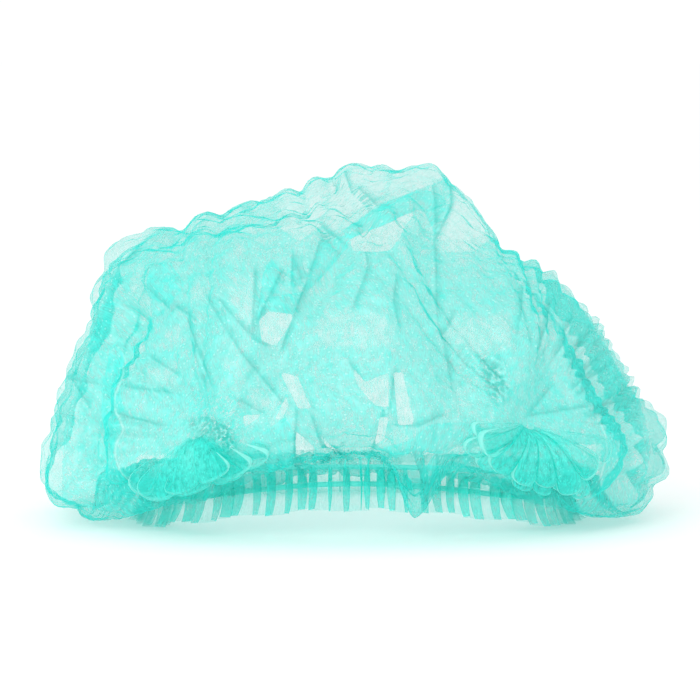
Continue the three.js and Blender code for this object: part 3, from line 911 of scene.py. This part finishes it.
def fan(name, azimuth_deg, ring, rows):
    """All rows of one fan, laid on the crown's form and joined."""
    middle, hub_level, step = np.radians(azimuth_deg), ring / LEVELS, 0.004
    hub, beside_hub, under_hub = (puffed(np.array(middle + a), np.array(hub_level - b))
                                  for a, b in ((0, 0), (step, 0), (0, step)))
    per_turn, per_level = np.linalg.norm(beside_hub - hub) / step, np.linalg.norm(hub - under_hub) / step
    made = []
    for row in rows:
        angle, reach, height, flat, marks = petal_row(row)
        turned = middle + np.cos(angle) * reach / per_turn
        raised = hub_level + np.sin(angle) * reach / per_level
        held = np.maximum(raised, RING["lip"])
        out = outward(turned, np.maximum(held, RING["skirt"]))
        grid = crown_form(turned, held, pleated=False)[0] + out * (height + FAN_CLEAR)[..., None]
        grid[..., 2] = np.maximum(grid[..., 2] - (held - raised) * per_level, FLOOR_CLEAR)
        made.append(sheet_mesh(f"{name}_{len(made)}", grid + offset, flat))
        for mark, values in marks.items():
            keep(made[-1].data, mark, values)
    with bpy.context.temp_override(active_object=made[0], selected_editable_objects=made):
        bpy.ops.object.join()
    made[0].name = name
    print(name, len(made[0].data.polygons), "faces")
    return made[0]


fans = {side: fan(f"end_pleats_{side}_cloth", *table) for side, table in FANS.items()}

# %% [markdown]
# ## Materials
# Spunbond cloth is a thin web of polypropylene fibres, melted together at small points. One layer lets most
# light through and tints it, so the colour deepens with each layer behind another. Each layer is therefore
# a mix: part clear, and part a turquoise web that both reflects light and passes it on.

# %% Colours and scales
NOISE, VORONOI, RANGE = "ShaderNodeTexNoise", "ShaderNodeTexVoronoi", "ShaderNodeMapRange"
MIX, MIX_SHADER, SURFACE = "ShaderNodeMix", "ShaderNodeMixShader", "ShaderNodeOutputMaterial"


def linear(hex_colour):
    """A screen colour as the linear numbers that shaders take."""
    c = np.array([int(hex_colour[i : i + 2], 16) for i in (1, 3, 5)]) / 255
    return (*np.where(c <= 0.04045, c / 12.92, ((c + 0.055) / 1.055) ** 2.4), 1.0)


def new_material(name):
    material = bpy.data.materials.new(name)
    material.use_nodes = True
    material.node_tree.nodes.clear()
    return material, material.node_tree


def per_mm(millimetres):
    """Scale of a pattern that repeats after so many millimetres, on coordinates in metres."""
    return 1 / (millimetres * MM)


TURQUOISE, BOND_POINT = linear("#1aeee2"), linear("#c9f7f1")
print("turquoise in linear light", np.round(TURQUOISE, 3).tolist())

# %% [markdown]
# The web of one layer is cloudy where fibres lie unevenly, streaked along them, and pale where it is
# bonded. It is drawn in the flat sheet, so the streaks turn with the cloth. The real fibres are 0.02 mm
# thick and less than 1 mm apart, and the bond points are 2 mm apart: both are drawn coarser so that they
# show.

# %% The web
# Spunbond polypropylene, dyed turquoise.
spunbond, tree = new_material("spunbond_polypropylene")
coords = add(tree, "ShaderNodeUVMap", uv_map="cloth")
cloud = add(tree, NOISE, coords, noise_dimensions="2D", Scale=per_mm(5), Detail=1.0)
streaked = add(tree, "ShaderNodeMapping", coords, Rotation=(0, 0, 0.6), Scale=(per_mm(1.1), per_mm(4.5), 1))
fibre = add(tree, NOISE, streaked, noise_dimensions="2D", Scale=1.0, Detail=1.5, Distortion=1.2)
web = add(tree, MATH, cloud, 0.8, fibre, operation="MULTIPLY_ADD")
dense = add(tree, RANGE, web, 0.45, 1.35, 0.05, 0.285)
bonds = add(tree, VORONOI, coords, voronoi_dimensions="2D", Scale=per_mm(4.2))
bonded = add(tree, RANGE, bonds, 0.08, 0.14, 0.45, 0.0)
print("web of one layer:", len(tree.nodes), "nodes")

# %% [markdown]
# The numbers kept on the mesh become shares from 0 to 1. A drawn edge is a step at its zero distance, as
# soft as the real edge is. A crease is painted shade: a fine dark line, and a shade that fades on one side
# of it. A tuck is darkest at its contour and fades behind it, partly tucked cloth and partly painted shade.
# Round a weld the cloth is crushed into short dashes, and on it the layers are pressed into specks.

# %% Shares
NUMBERS = ("heap", "spread", "bunched", "petal_way", "crease_near", "crease_side", "tuck_near", "tuck_side")
EDGES = {"body": 1.2, "panel": 0.5, "window": 0.4, "thin": 5.0, "weld": 4.0, "crushed": 9.0}  # mm, softness
stored = {name: add(tree, "ShaderNodeAttribute", attribute_name=name, out="Fac")
          for name in (*NUMBERS, *EDGES)}
within = {name: add(tree, RANGE, stored[name], REACH_IN - soft / 2, REACH_IN + soft / 2)
          for name, soft in EDGES.items()}

# Painted crease shade: a fine dark line at each run, and a shade on its left that fades over 4.8 mm.
crease_line = add(tree, MATH, stored["crease_side"], operation="ABSOLUTE")
crease_line = add(tree, RANGE, crease_line, 0.2, 0.6, 0.5, 0.0)
crease_shade = add(tree, RANGE, stored["crease_side"], 0.0, 4.8, 1.0, 0.0)
crease_shade = add(tree, MATH, crease_shade, 2.0, operation="POWER")
one_sided = add(tree, RANGE, stored["crease_side"], 0.0, 0.4)
crease_shade = add(tree, MATH, crease_shade, one_sided, crease_line, operation="MULTIPLY_ADD")
crease_shade = add(tree, MATH, crease_shade, add(tree, RANGE, stored["crease_near"], 0.5, 3.0), operation="MULTIPLY")

# Painted shade behind a tuck, darkest at its contour and fading over TUCK_WIDE; it stands partly for tucked
# cloth.
behind = add(tree, RANGE, stored["tuck_side"], 0.0, TUCK_WIDE, 1.0, 0.0)
behind = add(tree, MATH, behind, 2.0, operation="POWER")
behind = add(tree, MATH, behind, add(tree, RANGE, stored["tuck_side"], 0.0, 0.7), operation="MULTIPLY")
tucked_cloth_and_shade = add(tree, MATH, behind, stored["tuck_near"], operation="MULTIPLY")

dash_sizes = (per_mm(3.2), per_mm(1.2), 1)
pressed_out = add(tree, "ShaderNodeMapping", coords, Rotation=(0, 0, -0.3), Scale=dash_sizes)
dashes = add(tree, NOISE, pressed_out, noise_dimensions="2D", Scale=1.0, Detail=1.0, Distortion=1.0)
dash = add(tree, MATH, add(tree, RANGE, dashes, 0.5, 0.6), within["crushed"], operation="MULTIPLY")
# Painted glints: pale flecks among the crushed dashes, drawn as thinner cloth.
glint = add(tree, RANGE, dashes, 0.36, 0.42, 1.0, 0.0)
glint = add(tree, MATH, glint, within["crushed"], operation="MULTIPLY")
specks = add(tree, VORONOI, coords, voronoi_dimensions="2D", Scale=per_mm(2.4))
pressed = add(tree, MATH, add(tree, RANGE, specks, 0.42, 0.6, 1.0, 0.0), within["weld"], operation="MULTIPLY")

facet_at = add(tree, "ShaderNodeAttribute", attribute_name="facet", out="Vector")
cell = add(tree, "ShaderNodeSeparateColor", add(tree, VORONOI, facet_at, Scale=1.0, out="Color"))
flat_place = add(tree, MATH, cell, 0.6, 0.6, operation="MULTIPLY_ADD")
flat_place = add(tree, MATH, stored["bunched"], flat_place, operation="MULTIPLY")
pale = add(tree, MATH, add(tree, RANGE, cell, 0.07, 0.08, 1.0, 0.0), stored["bunched"], operation="MULTIPLY")
print("shares", len(stored), "stored numbers,", len(tree.nodes), "nodes")

# %% [markdown]
# The layers at a place are one, and what is heaped on it: loose cloth over the body, more on a panel, a
# little along each folded edge, and so on. Thin places have less, and a stretched window has none. What
# passes through the layers is the share that one layer passes, to the power of their number. Cloth seen
# edge-on is thicker.

# %% Layers
edges = {}
for name, wide, strength in (("panel", 0.55, 1.0), ("body", 0.9, 0.7)):
    off = add(tree, MATH, stored[name], REACH_IN, operation="SUBTRACT")
    off = add(tree, MATH, off, operation="ABSOLUTE")
    edges[name] = add(tree, RANGE, off, 0.1, wide, strength, 0.0)
lying = add(tree, MATH, 1.0, stored["spread"], operation="SUBTRACT")
folded_edge = add(tree, MATH, edges["body"], lying, edges["panel"], operation="MULTIPLY_ADD")
doubled = add(tree, MATH, within["panel"], 1.9, 1.2, operation="MULTIPLY_ADD")
over_body = add(tree, MATH, within["body"], lying, operation="MULTIPLY")
heaped = add(tree, MATH, over_body, doubled, stored["heap"], operation="MULTIPLY_ADD")
# Of these, the crease shade is painted shade and the tuck's is partly painted shade, both drawn as layers.
more = ((flat_place, 1.0), (tucked_cloth_and_shade, 2.4), (dash, 1.4), (pressed, 5.0), (crease_shade, 3.4), (folded_edge, 1.4))
for share, number in more:
    heaped = add(tree, MATH, share, number, heaped, operation="MULTIPLY_ADD")
thinnest = within["thin"]
for share in (pale, glint):
    thinnest = add(tree, MATH, thinnest, share, operation="MAXIMUM")
left_over = add(tree, MATH, thinnest, -0.65, 1.0, operation="MULTIPLY_ADD")
heaped = add(tree, MATH, heaped, left_over, operation="MULTIPLY")
closed = add(tree, MATH, within["window"], -1.0, 1.0, operation="MULTIPLY_ADD")
stretched = add(tree, MATH, within["window"], -0.35, 1.0, operation="MULTIPLY_ADD")
layers = add(tree, MATH, heaped, closed, stretched, operation="MULTIPLY_ADD")

edge_on = add(tree, MATH, add(tree, "ShaderNodeLayerWeight", 0.5, out="Facing"), 5.0, operation="POWER")
one_layer = add(tree, MATH, edge_on, 0.4, dense, operation="MULTIPLY_ADD")
one_layer = add(tree, MATH, bonded, 0.12, one_layer, operation="MULTIPLY_ADD", use_clamp=True)
passed = add(tree, MATH, 1.0, one_layer, operation="SUBTRACT")
passed = add(tree, MATH, passed, layers, operation="POWER")
opacity = add(tree, MATH, 1.0, passed, operation="SUBTRACT", use_clamp=True)
print("layers,", len(tree.nodes), "nodes")

# %% [markdown]
# The rolled end of a petal and the contour of a tuck get a painted highlight, a pale rim. The petals and
# the bars of the gathers are painted a brighter, deeper turquoise, painted light against the shade in them.
# A crease gets a painted shade, and a weld is darker. The web itself is matt, with a little sheen.

# %% Cloth shader
# Painted highlights: pale rims at the rolled end of a petal and along the contour of a tuck.
rim_highlights = {}
for name, place, half_wide, share in (("petal_way", 7.9, 0.3, 1.0), ("tuck_side", -0.5, 0.2, 0.8)):
    off = add(tree, MATH, stored[name], place, operation="SUBTRACT")
    off = add(tree, MATH, off, operation="ABSOLUTE")
    rim_highlights[name] = add(tree, RANGE, off, half_wide, 0.6, share, 0.0)
tuck_rim_highlight = add(tree, MATH, rim_highlights["tuck_side"], stored["tuck_near"], operation="MULTIPLY")
rim = add(tree, MATH, rim_highlights["petal_way"], tuck_rim_highlight, operation="MAXIMUM")
opacity = add(tree, MATH, opacity, add(tree, MATH, rim, 0.7, operation="MULTIPLY"), operation="MAXIMUM")

dye_and_painted_light = add(tree, MIX, bonded, TURQUOISE, BOND_POINT, data_type="RGBA")
# Painted light: a brighter turquoise on the petals and on the bars of the gathers, against the shade in them.
petal_painted_light = add(tree, RANGE, stored["petal_way"], 0.0, 1.0, 0.0, 0.7)
# The painted crease shade also darkens the colour.
painted_crease_shade = add(tree, MATH, crease_shade, 0.7, operation="MULTIPLY")
in_weld = add(tree, MATH, pressed, 0.8, operation="MULTIPLY")
# Painted light #22fff2 on petals and bars, painted crease shade #0fbeb3, painted rim highlight #a4f6ee;
# #08beb2 is the weld's own colour.
for share, colour in ((petal_painted_light, "#22fff2"), (painted_crease_shade, "#0fbeb3"), (in_weld, "#08beb2"), (rim, "#a4f6ee")):
    dye_and_painted_light = add(tree, MIX, share, dye_and_painted_light, linear(colour), data_type="RGBA")
bump = add(tree, "ShaderNodeBump", Strength=0.35, Distance=0.3 * MM, Height=web)
face = add(tree, "ShaderNodeBsdfDiffuse", Color=dye_and_painted_light, Normal=bump)
through = add(tree, "ShaderNodeBsdfTranslucent", Color=dye_and_painted_light, Normal=bump)
sheen = add(tree, "ShaderNodeBsdfGlossy", Color=(1, 1, 1, 1), Roughness=0.45, Normal=bump)
matt = add(tree, MIX_SHADER, 0.35, face, through)
fibres = add(tree, MIX_SHADER, 0.08, matt, sheen)
tint = add(tree, "ShaderNodeGamma", linear("#f7f9f9"), layers)
clear = add(tree, "ShaderNodeBsdfTransparent", Color=tint)
add(tree, SURFACE, add(tree, MIX_SHADER, opacity, clear, fibres))
print("spunbond cloth", len(tree.nodes), "nodes")

# %% [markdown]
# The elastic is braided polyester over latex, dyed like the cloth, with a fine rib across the band. With
# both finishes made, the trees grow the frill and the elastic.

# %% Elastic and growing
# Braided elastic, matt.
braid, tree = new_material("braided_elastic")
ribs = add(tree, NOISE, add(tree, "ShaderNodeTexCoord", out="Object"), Scale=per_mm(1.2), Detail=2.0)
shade = add(tree, MIX, ribs, linear("#4ad9cd"), linear("#86ebe2"), data_type="RGBA")
bump = add(tree, "ShaderNodeBump", Strength=0.5, Distance=0.3 * MM, Height=ribs)
add(tree, SURFACE, add(tree, "ShaderNodeBsdfPrincipled", Base_Color=shade, Roughness=0.7, Normal=bump))

frill = grown("hem_frill_cloth", frill_tree, {**frill_sizes, "Finish": spunbond})
elastic = grown("elastic_band", elastic_tree, {**elastic_sizes, "Finish": braid})
for piece in (crown, *fans.values()):
    piece.data.materials.append(spunbond)

# %% [markdown]
# ## Floor, light and camera
# The cap stands on white paper, as in a studio. The paper is one large square, so that its edge never shows.

# %% Floor
FLOOR_SIDE = 40  # metres each way
floor_mesh = bpy.data.meshes.new("floor")
corners = [(-1, -1), (1, -1), (1, 1), (-1, 1)]
floor_mesh.from_pydata([(FLOOR_SIDE * x, FLOOR_SIDE * y, 0) for x, y in corners], [], [(0, 1, 2, 3)])
floor = bpy.data.objects.new("floor", floor_mesh)
scene.collection.objects.link(floor)
# White paper, matt, with a faint grain.
paper, tree = new_material("white_paper")
grain = add(tree, NOISE, add(tree, "ShaderNodeTexCoord", out="Object"), Scale=per_mm(3))
bump = add(tree, "ShaderNodeBump", Strength=0.05, Distance=0.1 * MM, Height=grain)
add(tree, SURFACE, add(tree, "ShaderNodeBsdfDiffuse", Color=(0.97, 0.97, 0.97, 1), Normal=bump))
floor_mesh.materials.append(paper)
print("floor", 2 * FLOOR_SIDE, "m square")

# %% [markdown]
# Thin cloth is best seen by how much light it passes. So the light is even from all around, with one large
# soft lamp in front, and a look through the cap may meet many layers before it ends.

# %% Light
world = bpy.data.worlds.new("studio")
scene.world = world
world.use_nodes = True
world.node_tree.nodes["Background"].inputs["Color"].default_value = (1, 1, 1, 1)
world.node_tree.nodes["Background"].inputs["Strength"].default_value = 1.04
scene.view_settings.view_transform = "Standard"
scene.cycles.transparent_max_bounces = 36  # one for each layer
scene.cycles.max_bounces = 6
scene.cycles.diffuse_bounces = 4


def aim(obj, place, target):
    obj.location = place
    obj.rotation_euler = (Vector(target) - Vector(place)).to_track_quat("-Z", "Y").to_euler()


KEY_SIDE, KEY_POWER = 0.9, 14  # metres, watts
key_light = bpy.data.lights.new("key", "AREA")
key_light.size, key_light.energy = KEY_SIDE, KEY_POWER
key = bpy.data.objects.new("key", key_light)
scene.collection.objects.link(key)
aim(key, (-0.6, -1.6, 0.8), (0, 0, 0.06))
print("key light", KEY_SIDE, "m,", KEY_POWER, "W")

# %% [markdown]
# The camera looks from the front, a little from above the floor. A long lens keeps the cap's two sides
# alike in size.

# %% Camera
ELEVATION = np.radians(5)
LENS = 180
VIEW_WIDTH = 0.322  # metres across the picture at the cap
AIM_AT = Vector((-0.001, 0, 0.0765))
camera = bpy.data.objects.new("camera", bpy.data.cameras.new("camera"))
scene.collection.objects.link(camera)
scene.camera = camera
camera.data.lens = LENS
distance = VIEW_WIDTH * LENS / camera.data.sensor_width
aim(camera, AIM_AT + Vector((0, -np.cos(ELEVATION), np.sin(ELEVATION))) * distance, AIM_AT)
print("camera", round(distance, 2), "m away")

# %% [markdown]
# ## Into the frame
# Each piece rides on the one body, and the solid it stands for is hidden.

# %% Frame
STANDS_FOR = {
    crown: ("crown", "cloth"),
    frill: ("hem_frill", "cloth"),
    elastic: ("elastic_loop", "elastic"),
    fans["left"]: ("end_pleats_left", "cloth"),
    fans["right"]: ("end_pleats_right", "cloth"),
}
for piece, (node, finish) in STANDS_FOR.items():
    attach(piece, "root")
    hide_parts(node)
